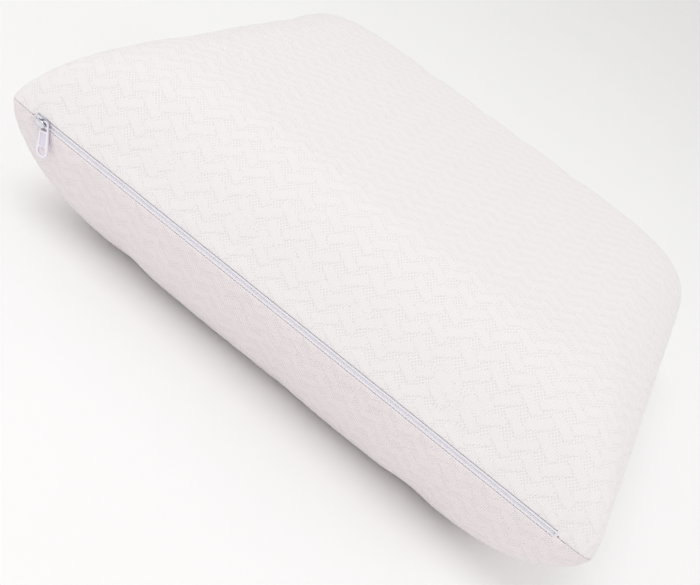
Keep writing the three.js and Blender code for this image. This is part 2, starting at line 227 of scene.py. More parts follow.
def quarter(depth, inset=0.0):
    """A quarter of the outline at a depth: an arm from the end's middle, and one on to the side's."""
    reach_x = HALF_LENGTH - inset + CORNER_REACH
    reach_y = HALF_WIDTH - inset + CORNER_REACH
    distance = CORNER_REACH + depth
    share_x = min(1.0, (distance / reach_x) ** CORNER_POWER)
    share_y = min(1.0, (distance / reach_y) ** CORNER_POWER)
    first = (share_y / max(1 - share_y, 1e-9)) ** (1 / CORNER_POWER)
    last = (max(1 - share_x, 1e-9) / share_x) ** (1 / CORNER_POWER)
    corner = math.sqrt(first * last)
    arms = []
    for start, stop in ((first, corner), (corner, last)):
        ratio = np.geomspace(start, stop, ARM_POINTS)
        power = ratio**CORNER_POWER
        x = reach_x - distance * (1 + power) ** (1 / CORNER_POWER)
        y = reach_y - distance * (1 + 1 / power) ** (1 / CORNER_POWER)
        arms.append(np.stack([np.maximum(x, 0), np.maximum(y, 0)], axis=1))
    return arms


def along(points, shares):
    """Points spaced evenly by length along a line of points."""
    steps = np.linalg.norm(np.diff(points, axis=0), axis=1)
    length = np.concatenate([[0], np.cumsum(steps)])
    if length[-1] < 1e-9:
        return np.repeat(points[:1], len(shares), axis=0)
    at = np.asarray(shares) * length[-1]
    return np.stack([np.interp(at, length, points[:, k]) for k in (0, 1)], axis=1)


def ring_arms(depth, ring, inset=0.0):
    """A quarter outline's two arms, with a point for each step from an axis out to the corner."""
    end_arm, side_arm = quarter(depth, inset)
    shares = np.arange(ring + 1) / ring
    return along(end_arm, shares), along(side_arm[::-1], shares)


def lay_ring(grid, ring, end_points, side_points):
    """Lays a whole plan outline into one square ring of a grid, counted from the grid's middle."""
    middle = len(grid) // 2
    steps = np.arange(ring + 1)
    for sign in (-1, 1):
        grid[middle + ring, middle + sign * steps] = end_points * (1, sign)
        grid[middle - ring, middle + sign * steps] = end_points * (-1, sign)
        grid[middle + sign * steps, middle + ring] = side_points * (sign, 1)
        grid[middle + sign * steps, middle - ring] = side_points * (sign, -1)


def plan_grid(depths):
    """A square grid whose rings are the plan outlines at these depths, from the middle outwards."""
    rings = len(depths) - 1
    grid = np.zeros((2 * rings + 1, 2 * rings + 1, 2))
    for ring in range(1, rings + 1):
        lay_ring(grid, ring, *ring_arms(depths[ring], ring))
    return grid


def ring_depths(side, rings):
    """Depths that divide the surface's profile evenly, from the middle out to the fold."""
    depth = DEEPEST * np.linspace(0, 1, PROFILE_POINTS) ** 2
    rise = height(depth, side)
    steps = np.hypot(np.diff(depth), np.diff(rise))
    length = np.concatenate([[0], np.cumsum(steps)])
    fold = np.interp(SEAM_GAP / 2 + FOLD_RADIUS, np.abs(rise), length)
    return np.interp(np.linspace(length[-1], fold, rings + 1), length, depth)


def perimeter(grid):
    """The grid's outer points, once round."""
    return np.concatenate([grid[:-1, 0], grid[-1, :-1], grid[:0:-1, -1], grid[0, :0:-1]])


def inner_outline(depth):
    """The outline at a depth on the panel's inner side, with as many points as the panel's rim."""
    grid = np.zeros((2 * RINGS + 1, 2 * RINGS + 1, 2))
    lay_ring(grid, RINGS, *ring_arms(depth, RINGS, WALL))
    return perimeter(grid)


def inner_level(depth, side):
    """Height of the panel's inner side at a depth inwards."""
    reach = RISE if side > 0 else DROP
    return SEAM_HEIGHT + height(np.array(depth), side) * (1 - WALL / reach)


# ---- Cloth coordinates, in millimetres along and across the flat cloth ----
def cloth_tables(side, count=260):
    """Lengths over the surface along X from the middle, and along Y from the zip's side."""
    ease = 1 - (1 - np.linspace(0, 1, count)) ** 2
    xs = HALF_LENGTH * ease
    ys = HALF_WIDTH * ease
    grid_x, grid_y = np.meshgrid(xs, ys, indexing="ij")
    rise = height(depth_at(grid_x, grid_y), side)
    step_x = np.hypot(np.diff(grid_x, axis=0), np.diff(rise, axis=0))
    step_y = np.hypot(np.diff(grid_y, axis=1), np.diff(rise, axis=1))
    run_x = np.concatenate([np.zeros((1, count)), np.cumsum(step_x, axis=0)])
    run_y = np.concatenate([np.zeros((count, 1)), np.cumsum(step_y, axis=1)], axis=1)
    return xs, ys, run_x, run_y


def sample(xs, ys, table, x, y):
    """A value from a table between its rows and columns."""
    i = np.clip(np.searchsorted(xs, x) - 1, 0, len(xs) - 2)
    j = np.clip(np.searchsorted(ys, y) - 1, 0, len(ys) - 2)
    s = np.clip((x - xs[i]) / (xs[i + 1] - xs[i]), 0, 1)
    t = np.clip((y - ys[j]) / (ys[j + 1] - ys[j]), 0, 1)
    near = table[i, j] * (1 - s) + table[i + 1, j] * s
    far = table[i, j + 1] * (1 - s) + table[i + 1, j + 1] * s
    return near * (1 - t) + far * t


def cloth_coordinates(x, y, side):
    xs, ys, run_x, run_y = cloth_tables(side)
    across_x = sample(xs, ys, run_x, np.abs(x), np.abs(y)) * np.sign(x)
    half_run = sample(xs, ys, run_y, np.abs(x), np.full_like(y, HALF_WIDTH))
    across_y = half_run + sample(xs, ys, run_y, np.abs(x), np.abs(y)) * np.sign(y)
    return across_x / MM, across_y / MM


def smooth_step(low, high, value):
    t = np.clip((value - low) / (high - low), 0, 1)
    return t * t * (3 - 2 * t)


def bar_mask(u, v):
    """1 on the cloth's raised bars, 0 on the ground between them."""
    mask = np.zeros_like(u)
    for index, turn in enumerate(BAR_TURNS):
        shift = index / 2
        x = ((u / CELL_ALONG + shift) % 1 - 0.5) * CELL_ALONG
        y = ((v / CELL_ACROSS + shift) % 1 - 0.5) * CELL_ACROSS
        angle = math.radians(turn)
        lengthwise = np.abs(x * math.cos(angle) + y * math.sin(angle))
        crosswise = np.abs(y * math.cos(angle) - x * math.sin(angle))
        inside = smooth_step(BAR_SHOULDER, -BAR_SHOULDER, crosswise - BAR_WIDTH / 2)
        inside *= smooth_step(BAR_SHOULDER, -BAR_SHOULDER, lengthwise - BAR_LENGTH / 2)
        mask = np.maximum(mask, inside)
    return mask


# ---- Meshes ----
def new_object(name, data):
    made = bpy.data.objects.new(name, data)
    bpy.context.scene.collection.objects.link(made)
    return made


def mesh_from(name, points, faces, uv=None):
    """A smooth mesh from arrays. Its UV map, if any, holds one pair for each point."""
    mesh = bpy.data.meshes.new(name)
    mesh.from_pydata(points.tolist(), [], faces)
    if uv is not None:
        layer = mesh.uv_layers.new(name="cloth")
        corners = np.empty(len(mesh.loops), dtype=np.int32)
        mesh.loops.foreach_get("vertex_index", corners)
        layer.data.foreach_set("uv", np.asarray(uv)[corners].astype(np.float32).ravel())
    mesh.polygons.foreach_set("use_smooth", [True] * len(mesh.polygons))
    mesh.update()
    return mesh


def joined(target, extra):
    """Adds another mesh to an object's mesh."""
    work = bmesh.new()
    work.from_mesh(target.data)
    work.from_mesh(extra)
    work.to_mesh(target.data)
    work.free()
    target.data.polygons.foreach_set("use_smooth", [True] * len(target.data.polygons))


def grid_faces(index):
    """The quads of a grid of point numbers."""
    corners = (index[:-1, :-1], index[1:, :-1], index[1:, 1:], index[:-1, 1:])
    return np.stack([corner.ravel() for corner in corners], axis=1)


def band_faces(low, high):
    """The quads between two closed rings of point numbers."""
    return np.stack([low, high, np.roll(high, -1), np.roll(low, -1)], axis=1).tolist()


def grid_normals(grid):
    across = np.gradient(grid, axis=0)
    up = np.gradient(grid, axis=1)
    normal = np.cross(across, up)
    return normal / np.maximum(np.linalg.norm(normal, axis=2, keepdims=True), 1e-12)


def zip_parting(x):
    """How far each panel's edge is drawn back from the seam to clear the chain, along X."""
    opening = smooth_step(CHAIN_START - ZIP_END_TAPER, CHAIN_START + ZIP_END_OPEN, x)
    opening *= smooth_step(CHAIN_STOP + ZIP_END_TAPER, CHAIN_STOP - ZIP_END_OPEN, x)
    return (ZIP_HALF_GAP - SEAM_GAP / 2) * opening


def gathers(x, rise):
    """Small folds fanning from the seam at each end of the zip, where the cloth is drawn together."""
    depth = np.zeros_like(x)
    for end, outward in ((CHAIN_START, -1), (CHAIN_STOP, 1)):
        beyond = (x - end) * outward - GATHER_OFFSET
        reach = np.exp(-((beyond / GATHER_REACH) ** 2)) * np.exp(-np.abs(rise) / GATHER_HEIGHT)
        depth += reach * np.cos(2 * math.pi * beyond / GATHER_PITCH)
    return depth * GATHER_DEPTH * smooth_step(0, GATHER_START, np.abs(rise))


def lift_from_floor(level, side):
    """0 where the underside rests, 1 clear of the floor and on the top panel."""
    if side > 0:
        return np.ones_like(level)
    return smooth_step(0, FLOOR_HOLD, level)


def finer(coarse, size):
    """A coarse grid of vectors spread over a finer grid, with a smooth curve between its points."""
    count = coarse.shape[0]
    at = np.linspace(0, count - 1, size)
    spread = coarse
    for axis in (0, 1):
        low = np.clip(at.astype(int), 0, count - 2)
        share = (at - low).reshape([-1 if k == axis else 1 for k in range(3)])
        near = [np.clip(low + k, 0, count - 1) for k in (-1, 0, 1, 2)]
        corners = [np.take(spread, at_point, axis=axis) for at_point in near]
        weights = (
            (1 - share) ** 3 / 6,
            (3 * share**3 - 6 * share**2 + 4) / 6,
            (-3 * share**3 + 3 * share**2 + 3 * share + 1) / 6,
            share**3 / 6,
        )
        spread = sum(weight * corner for weight, corner in zip(weights, corners))
    return spread


def coarse_bag():
    """A coarse bag of cloth round the whole pillow, held at its seam, and its points at rest."""
    size = 2 * BAG_RINGS + 1
    index = np.arange(size * size).reshape(size, size)
    points, faces = [], []
    for number, side in enumerate((1, -1)):
        plan = plan_grid(ring_depths(side, BAG_RINGS))
        level = SEAM_HEIGHT + height(depth_at(plan[..., 0], plan[..., 1]), side)
        points.append(np.concatenate([plan, level[..., None]], axis=2).reshape(-1, 3))
        faces += grid_faces(index + number * size * size)[:, ::side].tolist()
    upper = perimeter(index)
    lower = upper + size * size
    faces += band_faces(upper, lower)
    rest = np.concatenate(points)
    bag = new_object("bag", mesh_from("bag", rest, faces))
    held = bag.vertex_groups.new(name="seam")
    held.add([int(k) for k in np.concatenate([upper, lower])], 1.0, "REPLACE")
    return bag, rest


def inflate(bag):
    """Runs the cloth simulation that fills the bag out."""
    cloth = bag.modifiers.new("cloth", "CLOTH")
    cloth.settings.quality = BAG_QUALITY
    cloth.settings.mass = BAG_MASS
    cloth.settings.tension_stiffness = BAG_STRETCH
    cloth.settings.compression_stiffness = BAG_STRETCH
    cloth.settings.bending_stiffness = BAG_BEND
    cloth.settings.use_pressure = True
    cloth.settings.uniform_pressure_force = BAG_PRESSURE
    cloth.settings.shrink_min = -CLOTH_EASE
    cloth.settings.vertex_group_mass = "seam"
    cloth.settings.effector_weights.gravity = 0
    cloth.collision_settings.use_collision = False
    for step in range(1, BAG_FRAMES + 1):
        bpy.context.scene.frame_set(step)


def settle_cloth():
    """How far each panel's coarse grid of points moves when the bag fills out."""
    bag, rest = coarse_bag()
    inflate(bag)
    settled = bag.evaluated_get(bpy.context.evaluated_depsgraph_get()).data
    after = np.empty(len(rest) * 3)
    settled.vertices.foreach_get("co", after)
    bpy.context.scene.frame_set(1)
    bpy.data.objects.remove(bag)
    moved = (after.reshape(-1, 3) - rest) * CLOTH_SHARE
    length = np.linalg.norm(moved, axis=1, keepdims=True)
    moved *= CLOTH_LIMIT * np.tanh(length / CLOTH_LIMIT) / np.maximum(length, 1e-9)
    size = 2 * BAG_RINGS + 1
    return {side: part.reshape(size, size, 3) for side, part in zip((1, -1), np.split(moved, 2))}


def panel_face(side, slack):
    """The panel's outer face with its raised bars: a grid of points, and the cloth at each point."""
    plan = plan_grid(ring_depths(side, RINGS))
    x, y = plan[..., 0], plan[..., 1]
    rise = height(depth_at(x, y), side)
    u, v = cloth_coordinates(x, y, side)
    part = zip_parting(x) * (y < 0) * np.clip(1 - np.abs(rise) / ZIP_GAP_REACH, 0, 1) ** 2
    rise = rise + side * part
    grid = np.stack([x, y + part * LIP_SINK / ZIP_HALF_GAP, SEAM_HEIGHT + rise], axis=2)
    if slack is not None:
        held = smooth_step(0, SEAM_HOLD, np.abs(rise))[..., None]
        grid = grid + finer(slack, len(grid)) * held * lift_from_floor(grid[..., 2:], side)
    bar_share = BAR_AT_SEAM + (1 - BAR_AT_SEAM) * smooth_step(*BAR_FADE, np.abs(rise) - part)
    folds = gathers(x, rise) * (y < 0) * smooth_step(*GATHER_SIDE, -y / HALF_WIDTH)
    relief = folds + bar_mask(u, v) * BAR_HEIGHT * bar_share
    if side < 0:
        relief = relief * smooth_step(0, PRESSED_FLAT, DROP + rise)
    grid = grid + grid_normals(grid) * side * relief[..., None]
    return grid, np.stack([u, v], axis=2)


def rim_normals(points):
    """The outline's outward directions in plan."""
    to_end = HALF_LENGTH + CORNER_REACH - np.abs(points[:, 0])
    to_side = HALF_WIDTH + CORNER_REACH - np.abs(points[:, 1])
    x = np.sign(points[:, 0]) * to_end ** -(CORNER_POWER + 1)
    y = np.sign(points[:, 1]) * to_side ** -(CORNER_POWER + 1)
    direction = np.stack([x, y], axis=1)
    return direction / np.linalg.norm(direction, axis=1, keepdims=True)


def edge_rows(side, rim, rim_cloth):
    """Rows of points from the panel's rim round its fold and over its inner side, each with its cloth."""
    outward = rim_normals(rim)
    for turn in np.linspace(0, math.pi, FOLD_ROWS + 1)[1:]:
        row = rim.copy()
        row[:, :2] -= outward * FOLD_RADIUS * (1 - math.cos(turn))
        row[:, 2] -= side * FOLD_RADIUS * math.sin(turn)
        yield row, rim_cloth + outward * FOLD_RADIUS * turn / MM
    for share in INNER_ROWS:
        flat = inner_outline(DEEPEST * share)
        level = np.full((len(flat), 1), inner_level(DEEPEST * share, side))
        yield np.concatenate([flat, level], axis=1), flat / MM


def cover_panel(name, side, slack):
    """One panel of the cover: its outer face, its folded edge, and its inner side."""
    grid, cloth = panel_face(side, slack)
    points = [grid.reshape(-1, 3)]
    coordinates = [cloth.reshape(-1, 2)]
    total = len(points[0])
    index = np.arange(total).reshape(grid.shape[:2])
    faces = grid_faces(index).tolist()
    near = perimeter(index)
    for row, row_cloth in edge_rows(side, points[0][near], coordinates[0][near]):
        points.append(row)
        coordinates.append(row_cloth)
        far = total + np.arange(len(row))
        faces += band_faces(near, far)
        total += len(row)
        near = far
    points.append(np.array([[0, 0, inner_level(DEEPEST, side)]]))
    coordinates.append(np.zeros((1, 2)))
    faces += [(int(p), total, int(q)) for p, q in zip(near, np.roll(near, -1))]
    if side < 0:
        faces = [tuple(face)[::-1] for face in faces]
    mesh = mesh_from(name, np.concatenate(points), faces, np.concatenate(coordinates))
    return new_object(name, mesh)


def tube(name, path, radii, sides, flatten=1.0, up=(0, -1, 0)):
    """A tube along a path, closed by a face at each end. Flatten squeezes it along up."""
    path = [Vector(p) for p in path]
    up = Vector(up)
    points, faces = [], []
    for i, centre in enumerate(path):
        ahead = path[min(i + 1, len(path) - 1)] - path[max(i - 1, 0)]
        across = ahead.cross(up).normalized()
        for k in range(sides):
            turn = 2 * math.pi * k / sides
            offset = across * math.cos(turn) + up * math.sin(turn) * flatten
            points.append(centre + offset * radii[i])
    for i in range(len(path) - 1):
        for k in range(sides):
            a, b = i * sides + k, i * sides + (k + 1) % sides
            faces.append((a, a + sides, b + sides, b))
    faces.append(tuple(range(sides)))
    faces.append(tuple(reversed(range(len(points) - sides, len(points)))))
    return mesh_from(name, np.array(points), faces)


def coil_turn(low, high):
    """One turn of the coil's wire, filling a box across the tape and advancing by one pitch."""
    middle = (Vector(low) + Vector(high)) / 2
    reach_y = (high[1] - low[1]) / 2 - COIL_WIRE
    reach_z = (high[2] - low[2]) / 2 - COIL_WIRE
    path = []
    for turn in np.linspace(0, 2 * math.pi, TURN_POINTS):
        x = COIL_PITCH * turn / (2 * math.pi)
        y = middle[1] + reach_y * math.cos(turn)
        z = middle[2] + reach_z * math.sin(turn)
        path.append((x, y, z))
    return tube("turn", path, [COIL_WIRE] * len(path), sides=WIRE_SIDES, up=(1, 0, 0))


def chain_long_bar(name, middle_y, level, radius, taper, squeeze):
    """A soft bar as long as the chain, tapering at its two ends."""
    places = (CHAIN_START, CHAIN_START + taper, CHAIN_STOP - taper, CHAIN_STOP)
    path = [(x, middle_y, level) for x in places]
    tip = radius * CORD_TIP
    return tube(name, path, [tip, radius, radius, tip], sides=CORD_SIDES, flatten=squeeze)


def coil_core(low, high, side):
    """The cord and crossing wires that fill a coil, as one long soft bar reaching the middle."""
    inner = SEAM_HEIGHT + side * CORE_GAP
    reach = max(abs(high[2] - SEAM_HEIGHT), abs(low[2] - SEAM_HEIGHT))
    outer = SEAM_HEIGHT + side * (reach - CORE_SINK)
    radius = abs(outer - inner) / 2
    squeeze = ((high[1] - low[1]) / 2 - CORE_SINK) / radius
    middle_y = (low[1] + high[1]) / 2
    return chain_long_bar("core", middle_y, (inner + outer) / 2, radius, radius, squeeze)


def stitch_bed(front, level):
    """The close-packed thread under a row of chain stitches, as one long low ridge."""
    middle_y = front + LINK_WIDTH * BED_FLATTEN / 2
    return chain_long_bar("bed", middle_y, level, LINK_WIDTH / 2, LINK_WIDTH, BED_FLATTEN)


def chain_link(front, level):
    """One loop of chain stitch lying on the coil, its nose tucked under the next."""
    path = []
    for turn in np.linspace(-LINK_OPENING, LINK_OPENING, TURN_POINTS):
        nose = (1 + math.cos(turn)) / 2
        half_width = LINK_WIDTH / 2 * (LINK_TAIL + (1 - LINK_TAIL) * nose)
        y = front - LINK_ARCH * math.sin(math.pi * nose)
        path.append((LINK_LENGTH * nose, y, level + half_width * math.sin(turn)))
    return tube("link", path, [STITCH_WIRE] * len(path), sides=WIRE_SIDES)


def tack_strand(low, high):
    """One bowed strand of a bar tack, up and down across both tapes."""
    path = []
    for share in np.linspace(0, 1, STRAND_POINTS):
        bow = math.sin(math.pi * share) ** TACK_BOW
        y = high[1] + (low[1] - high[1] + TACK_WIRE) * bow
        path.append((0, y, low[2] + (high[2] - low[2]) * share))
    return tube("strand", path, [TACK_WIRE] * len(path), sides=WIRE_SIDES)


def rounded_copy(node, width):
    """A copy of a hard piece with its shared edges merged and softly rounded."""
    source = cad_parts[node]
    mesh = source.data.copy()
    mesh.transform(source.matrix_world)
    made = new_object(node + "_rounded", mesh)
    work = bmesh.new()
    work.from_mesh(mesh)
    bmesh.ops.remove_doubles(work, verts=work.verts, dist=MERGE_REACH)
    bmesh.ops.dissolve_limit(work, angle_limit=FLAT_ANGLE, verts=work.verts, edges=work.edges)
    work.to_mesh(mesh)
    work.free()
    bevel = made.modifiers.new("soft_edges", "BEVEL")
    bevel.width = width
    bevel.segments = EDGE_STEPS
    bevel.limit_method = "ANGLE"
    bevel.angle_limit = EDGE_ANGLE
    graph = bpy.context.evaluated_depsgraph_get()
    rounded = bpy.data.meshes.new_from_object(made.evaluated_get(graph))
    made.modifiers.clear()
    made.data = rounded
    rounded.polygons.foreach_set("use_smooth", [True] * len(rounded.polygons))
    rounded.set_sharp_from_angle(angle=SHARP_ANGLE)
    return made


def crown_dome(low, high):
    """The bridge's domed roof, a rounded lens over its box, waisted where the fingers hold it."""
    middle_x = (low[0] + high[0]) / 2
    middle_z = (low[2] + high[2]) / 2
    reach = (high[0] - low[0]) / 2 + CROWN_LIP
    points, rows = [], []
    for tilt in np.linspace(CROWN_POLE, 1 - CROWN_POLE, CROWN_ROWS) * math.pi:
        swell = math.sin(tilt) ** CROWN_FULLNESS
        rise = CROWN_RISE if math.cos(tilt) > 0 else CROWN_BELLY
        y = low[1] + CROWN_THICKNESS / 2 - math.cos(tilt) * rise
        rows.append(len(points) + np.arange(CROWN_TURNS))
        for turn in np.linspace(0, 2 * math.pi, CROWN_TURNS, endpoint=False):
            waist = 1 - CROWN_WAIST * math.sin(turn) ** WAIST_POWER
            x = middle_x + reach * swell * math.cos(turn)
            z = middle_z + CROWN_HALF_WIDTH * swell * math.sin(turn) * waist
            points.append((x, y, z))
    faces = [rows[0].tolist(), rows[-1].tolist()]
    for near, far in zip(rows, rows[1:]):
        faces += band_faces(near, far)
    mesh = mesh_from("crown", np.array(points), faces)
    work = bmesh.new()
    work.from_mesh(mesh)
    bmesh.ops.recalc_face_normals(work, faces=work.faces)
    work.to_mesh(mesh)
    work.free()
    return mesh


# ---- Repeats by Geometry Nodes ----
def build_repeat_tree():
    """A straight row of copies of one piece, made real and given one material."""
    tree = bpy.data.node_groups.new("row_of_copies", "GeometryNodeTree")
    sockets = (
        ("Copies", "NodeSocketInt"),
        ("Start", "NodeSocketVector"),
        ("Spacing", "NodeSocketVector"),
        ("Piece", "NodeSocketObject"),
        ("Material", "NodeSocketMaterial"),
    )
    for label, kind in sockets:
        tree.interface.new_socket(label, in_out="INPUT", socket_type=kind)
    tree.interface.new_socket("Row", in_out="OUTPUT", socket_type="NodeSocketGeometry")
    given = tree.nodes.new("NodeGroupInput")
    line = tree.nodes.new("GeometryNodeMeshLine")
    piece = tree.nodes.new("GeometryNodeObjectInfo")
    place = tree.nodes.new("GeometryNodeInstanceOnPoints")
    real = tree.nodes.new("GeometryNodeRealizeInstances")
    paint = tree.nodes.new("GeometryNodeSetMaterial")
    result = tree.nodes.new("NodeGroupOutput")
    join = tree.links.new
    join(given.outputs["Copies"], line.inputs["Count"])
    join(given.outputs["Start"], line.inputs["Start Location"])
    join(given.outputs["Spacing"], line.inputs["Offset"])
    join(given.outputs["Piece"], piece.inputs["Object"])
    join(line.outputs["Mesh"], place.inputs["Points"])
    join(piece.outputs["Geometry"], place.inputs["Instance"])
    join(place.outputs["Instances"], real.inputs["Geometry"])
    join(real.outputs["Geometry"], paint.inputs["Geometry"])
    join(given.outputs["Material"], paint.inputs["Material"])
    join(paint.outputs["Geometry"], result.inputs["Row"])
    return tree


def row_of_copies(name, tree, piece_mesh, copies, start, spacing, finish):
    """Runs the row's nodes and keeps the result as a plain mesh."""
    piece = new_object(name + "_piece", piece_mesh)
    host = new_object(name + "_host", bpy.data.meshes.new(name + "_host"))
    modifier = host.modifiers.new("row", "NODES")
    modifier.node_group = tree
    values = {
        "Copies": copies,
        "Start": start,
        "Spacing": spacing,
        "Piece": piece,
        "Material": finish,
    }
    for item in tree.interface.items_tree:
        if item.item_type == "SOCKET" and item.in_out == "INPUT":
            modifier[item.identifier] = values[item.name]
    host.update_tag()
    graph = bpy.context.evaluated_depsgraph_get()
    mesh = bpy.data.meshes.new_from_object(host.evaluated_get(graph))
    mesh.name = name
    bpy.data.objects.remove(host)
    bpy.data.objects.remove(piece)
    made = new_object(name, mesh)
    mesh.polygons.foreach_set("use_smooth", [True] * len(mesh.polygons))
    return made


# ---- Material building blocks ----
class Sheet:
    """A node tree being drawn: each call adds one node and returns its output."""

    def __init__(self, tree):
        self.tree = tree

    def add(self, kind, **settings):
        node = self.tree.nodes.new(kind)
        for key, value in settings.items():
            setattr(node, key, value)
        return node

    def put(self, socket, value):
        if hasattr(value, "is_output"):
            self.tree.links.new(value, socket)
        else:
            socket.default_value = value

    def math(self, operation, first, second=None, third=None):
        node = self.add("ShaderNodeMath", operation=operation)
        for socket, value in zip(node.inputs, (first, second, third)):
            if value is not None:
                self.put(socket, value)
        return node.outputs[0]

    def ramp(self, value, low, high, out_low=0.0, out_high=1.0):
        """A smooth step from one value to another."""
        node = self.add("ShaderNodeMapRange", interpolation_type="SMOOTHSTEP")
        for label, given in (
            ("Value", value),
            ("From Min", low),
            ("From Max", high),
            ("To Min", out_low),
            ("To Max", out_high),
        ):
            self.put(node.inputs[label], given)
        return node.outputs["Result"]

    def mix(self, share, first, second):
        node = self.add("ShaderNodeMix", data_type="RGBA")
        self.put(node.inputs["Factor"], share)
        self.put(node.inputs["A"], first)
        self.put(node.inputs["B"], second)
        return node.outputs["Result"]

    def noise(self, vector, scale, detail=3.0, roughness=0.5):
        node = self.add("ShaderNodeTexNoise")
        self.put(node.inputs["Vector"], vector)
        node.inputs["Scale"].default_value = scale
        node.inputs["Detail"].default_value = detail
        node.inputs["Roughness"].default_value = roughness
        return node.outputs["Fac"]

    def bump(self, height_value, distance, strength=1.0, normal=None):
        node = self.add("ShaderNodeBump")
        self.put(node.inputs["Height"], height_value)
        node.inputs["Distance"].default_value = distance
        node.inputs["Strength"].default_value = strength
        if normal is not None:
            self.put(node.inputs["Normal"], normal)
        return node.outputs["Normal"]

    def group(self, tree, **values):
        node = self.add("ShaderNodeGroup")
        node.node_tree = tree
        for label, value in values.items():
            self.put(node.inputs[label.replace("_", " ")], value)
        return node


def color(red, green, blue):
    """A colour from 0 to 255 display values, made linear."""
    linear = []
    for value in (red, green, blue):
        share = value / 255
        linear.append(share / 12.92 if share <= 0.04045 else ((share + 0.055) / 1.055) ** 2.4)
    return (*linear, 1.0)


def new_group(name, inputs, outputs):
    tree = bpy.data.node_groups.new(name, "ShaderNodeTree")
    for label, kind, value in inputs:
        socket = tree.interface.new_socket(label, in_out="INPUT", socket_type=kind)
        if value is not None:
            socket.default_value = value
    for label, kind in outputs:
        tree.interface.new_socket(label, in_out="OUTPUT", socket_type=kind)
    sheet = Sheet(tree)
    return sheet, tree.nodes.new("NodeGroupInput").outputs, tree.nodes.new("NodeGroupOutput").inputs


def build_bar_group():
    """How far a point lies inside one slanting bar of the cloth, from 0 outside to 1 inside."""
    number = "NodeSocketFloat"
    sheet, given, result = new_group(
        "cloth_bar",
        (
            ("Along", number, 0.0),
            ("Across", number, 0.0),
            ("Shift", number, 0.0),
            ("Turn", number, 0.0),
            ("Softness", number, 0.5),
        ),
        (("Inside", number),),
    )
    parts = []
    for label, cell in (("Along", CELL_ALONG), ("Across", CELL_ACROSS)):
        cells = sheet.math("MULTIPLY_ADD", given[label], 1 / cell, given["Shift"])
        parts.append(sheet.math("MULTIPLY_ADD", sheet.math("FRACT", cells), cell, -cell / 2))
    cosine = sheet.math("COSINE", given["Turn"])
    sine = sheet.math("SINE", given["Turn"])
    x, y = parts
    lengthwise = sheet.math("MULTIPLY_ADD", y, sine, sheet.math("MULTIPLY", x, cosine))
    crosswise = sheet.math("SUBTRACT", sheet.math("MULTIPLY", y, cosine), sheet.math("MULTIPLY", x, sine))
    inside = None
    soft = given["Softness"]
    for run, extent in ((lengthwise, BAR_LENGTH), (crosswise, BAR_WIDTH)):
        beyond = sheet.math("SUBTRACT", sheet.math("ABSOLUTE", run), extent / 2)
        share = sheet.ramp(beyond, soft, sheet.math("MULTIPLY", soft, -1.0))
        inside = share if inside is None else sheet.math("MULTIPLY", inside, share)
    sheet.put(result["Inside"], inside)
    return sheet.tree


def build_jacquard_group(bar_group):
    """The double knit: ribbed bars with stepped edges over a ground of small pits."""
    number = "NodeSocketFloat"
    sheet, given, result = new_group(
        "jacquard_knit",
        (("Cloth", "NodeSocketVector", None), ("Rib depth", number, 0.42)),
        (("Bars", number), ("Pits", number), ("Furrows", number), ("Height", number)),
    )
    split = sheet.add("ShaderNodeSeparateXYZ")
    sheet.put(split.inputs[0], given["Cloth"])
    u = split.outputs["X"]
    v = split.outputs["Y"]
    # The bars' edges step from one pair of columns to the next.
    pair = sheet.math("FRACT", sheet.math("DIVIDE", u, 2 * WALE))
    step = sheet.math("MULTIPLY", sheet.math("SUBTRACT", pair, 0.5), 2 * WALE * RIB_STEP)
    stepped = sheet.math("SUBTRACT", u, step)
    bars = None
    for index, turn in enumerate(BAR_TURNS):
        one = sheet.group(
            bar_group,
            Along=stepped,
            Across=v,
            Shift=index / 2,
            Turn=math.radians(turn),
            Softness=BAR_SOFTNESS,
        ).outputs["Inside"]
        bars = one if bars is None else sheet.math("MAXIMUM", bars, one)
    column = sheet.math("COSINE", sheet.math("MULTIPLY", u, 2 * math.pi / WALE))
    furrow = sheet.math("MULTIPLY_ADD", column, 0.5, 0.5)
    rib = sheet.math("MULTIPLY", furrow, given["Rib depth"])
    wide = sheet.math("COSINE", sheet.math("MULTIPLY", u, math.pi / WALE))
    course = sheet.math("COSINE", sheet.math("MULTIPLY", v, 2 * math.pi / COURSE))
    checker = sheet.math("MULTIPLY", wide, course)
    ground = sheet.math("SUBTRACT", 1.0, bars)
    pits = sheet.math("MULTIPLY", sheet.ramp(checker, -0.1, 1.0), ground)
    bar_height = sheet.math("MULTIPLY", bars, sheet.math("SUBTRACT", 1.0, rib))
    sheet.put(result["Bars"], bars)
    sheet.put(result["Pits"], pits)
    sheet.put(result["Furrows"], sheet.math("MULTIPLY", bars, furrow))
    pit_depth = sheet.math("MULTIPLY", pits, PIT_DEPTH)
    sheet.put(result["Height"], sheet.math("SUBTRACT", bar_height, pit_depth))
    return sheet.tree


def build_fuzz_group():
    """Fine irregularity of cloth: a soft mottle and a thready grain."""
    number = "NodeSocketFloat"
    sheet, given, result = new_group(
        "cloth_fuzz",
        (("Place", "NodeSocketVector", None), ("Size", number, 1.0)),
        (("Mottle", number), ("Grain", number)),
    )
    scaled = sheet.add("ShaderNodeVectorMath", operation="SCALE")
    sheet.put(scaled.inputs[0], given["Place"])
    sheet.put(scaled.inputs["Scale"], given["Size"])
    sheet.put(result["Mottle"], sheet.noise(scaled.outputs[0], MOTTLE_SCALE, 4))
    sheet.put(result["Grain"], sheet.noise(scaled.outputs[0], GRAIN_SCALE, 2))
    return sheet.tree


BAR_GROUP = build_bar_group()
JACQUARD_GROUP = build_jacquard_group(BAR_GROUP)
FUZZ_GROUP = build_fuzz_group()


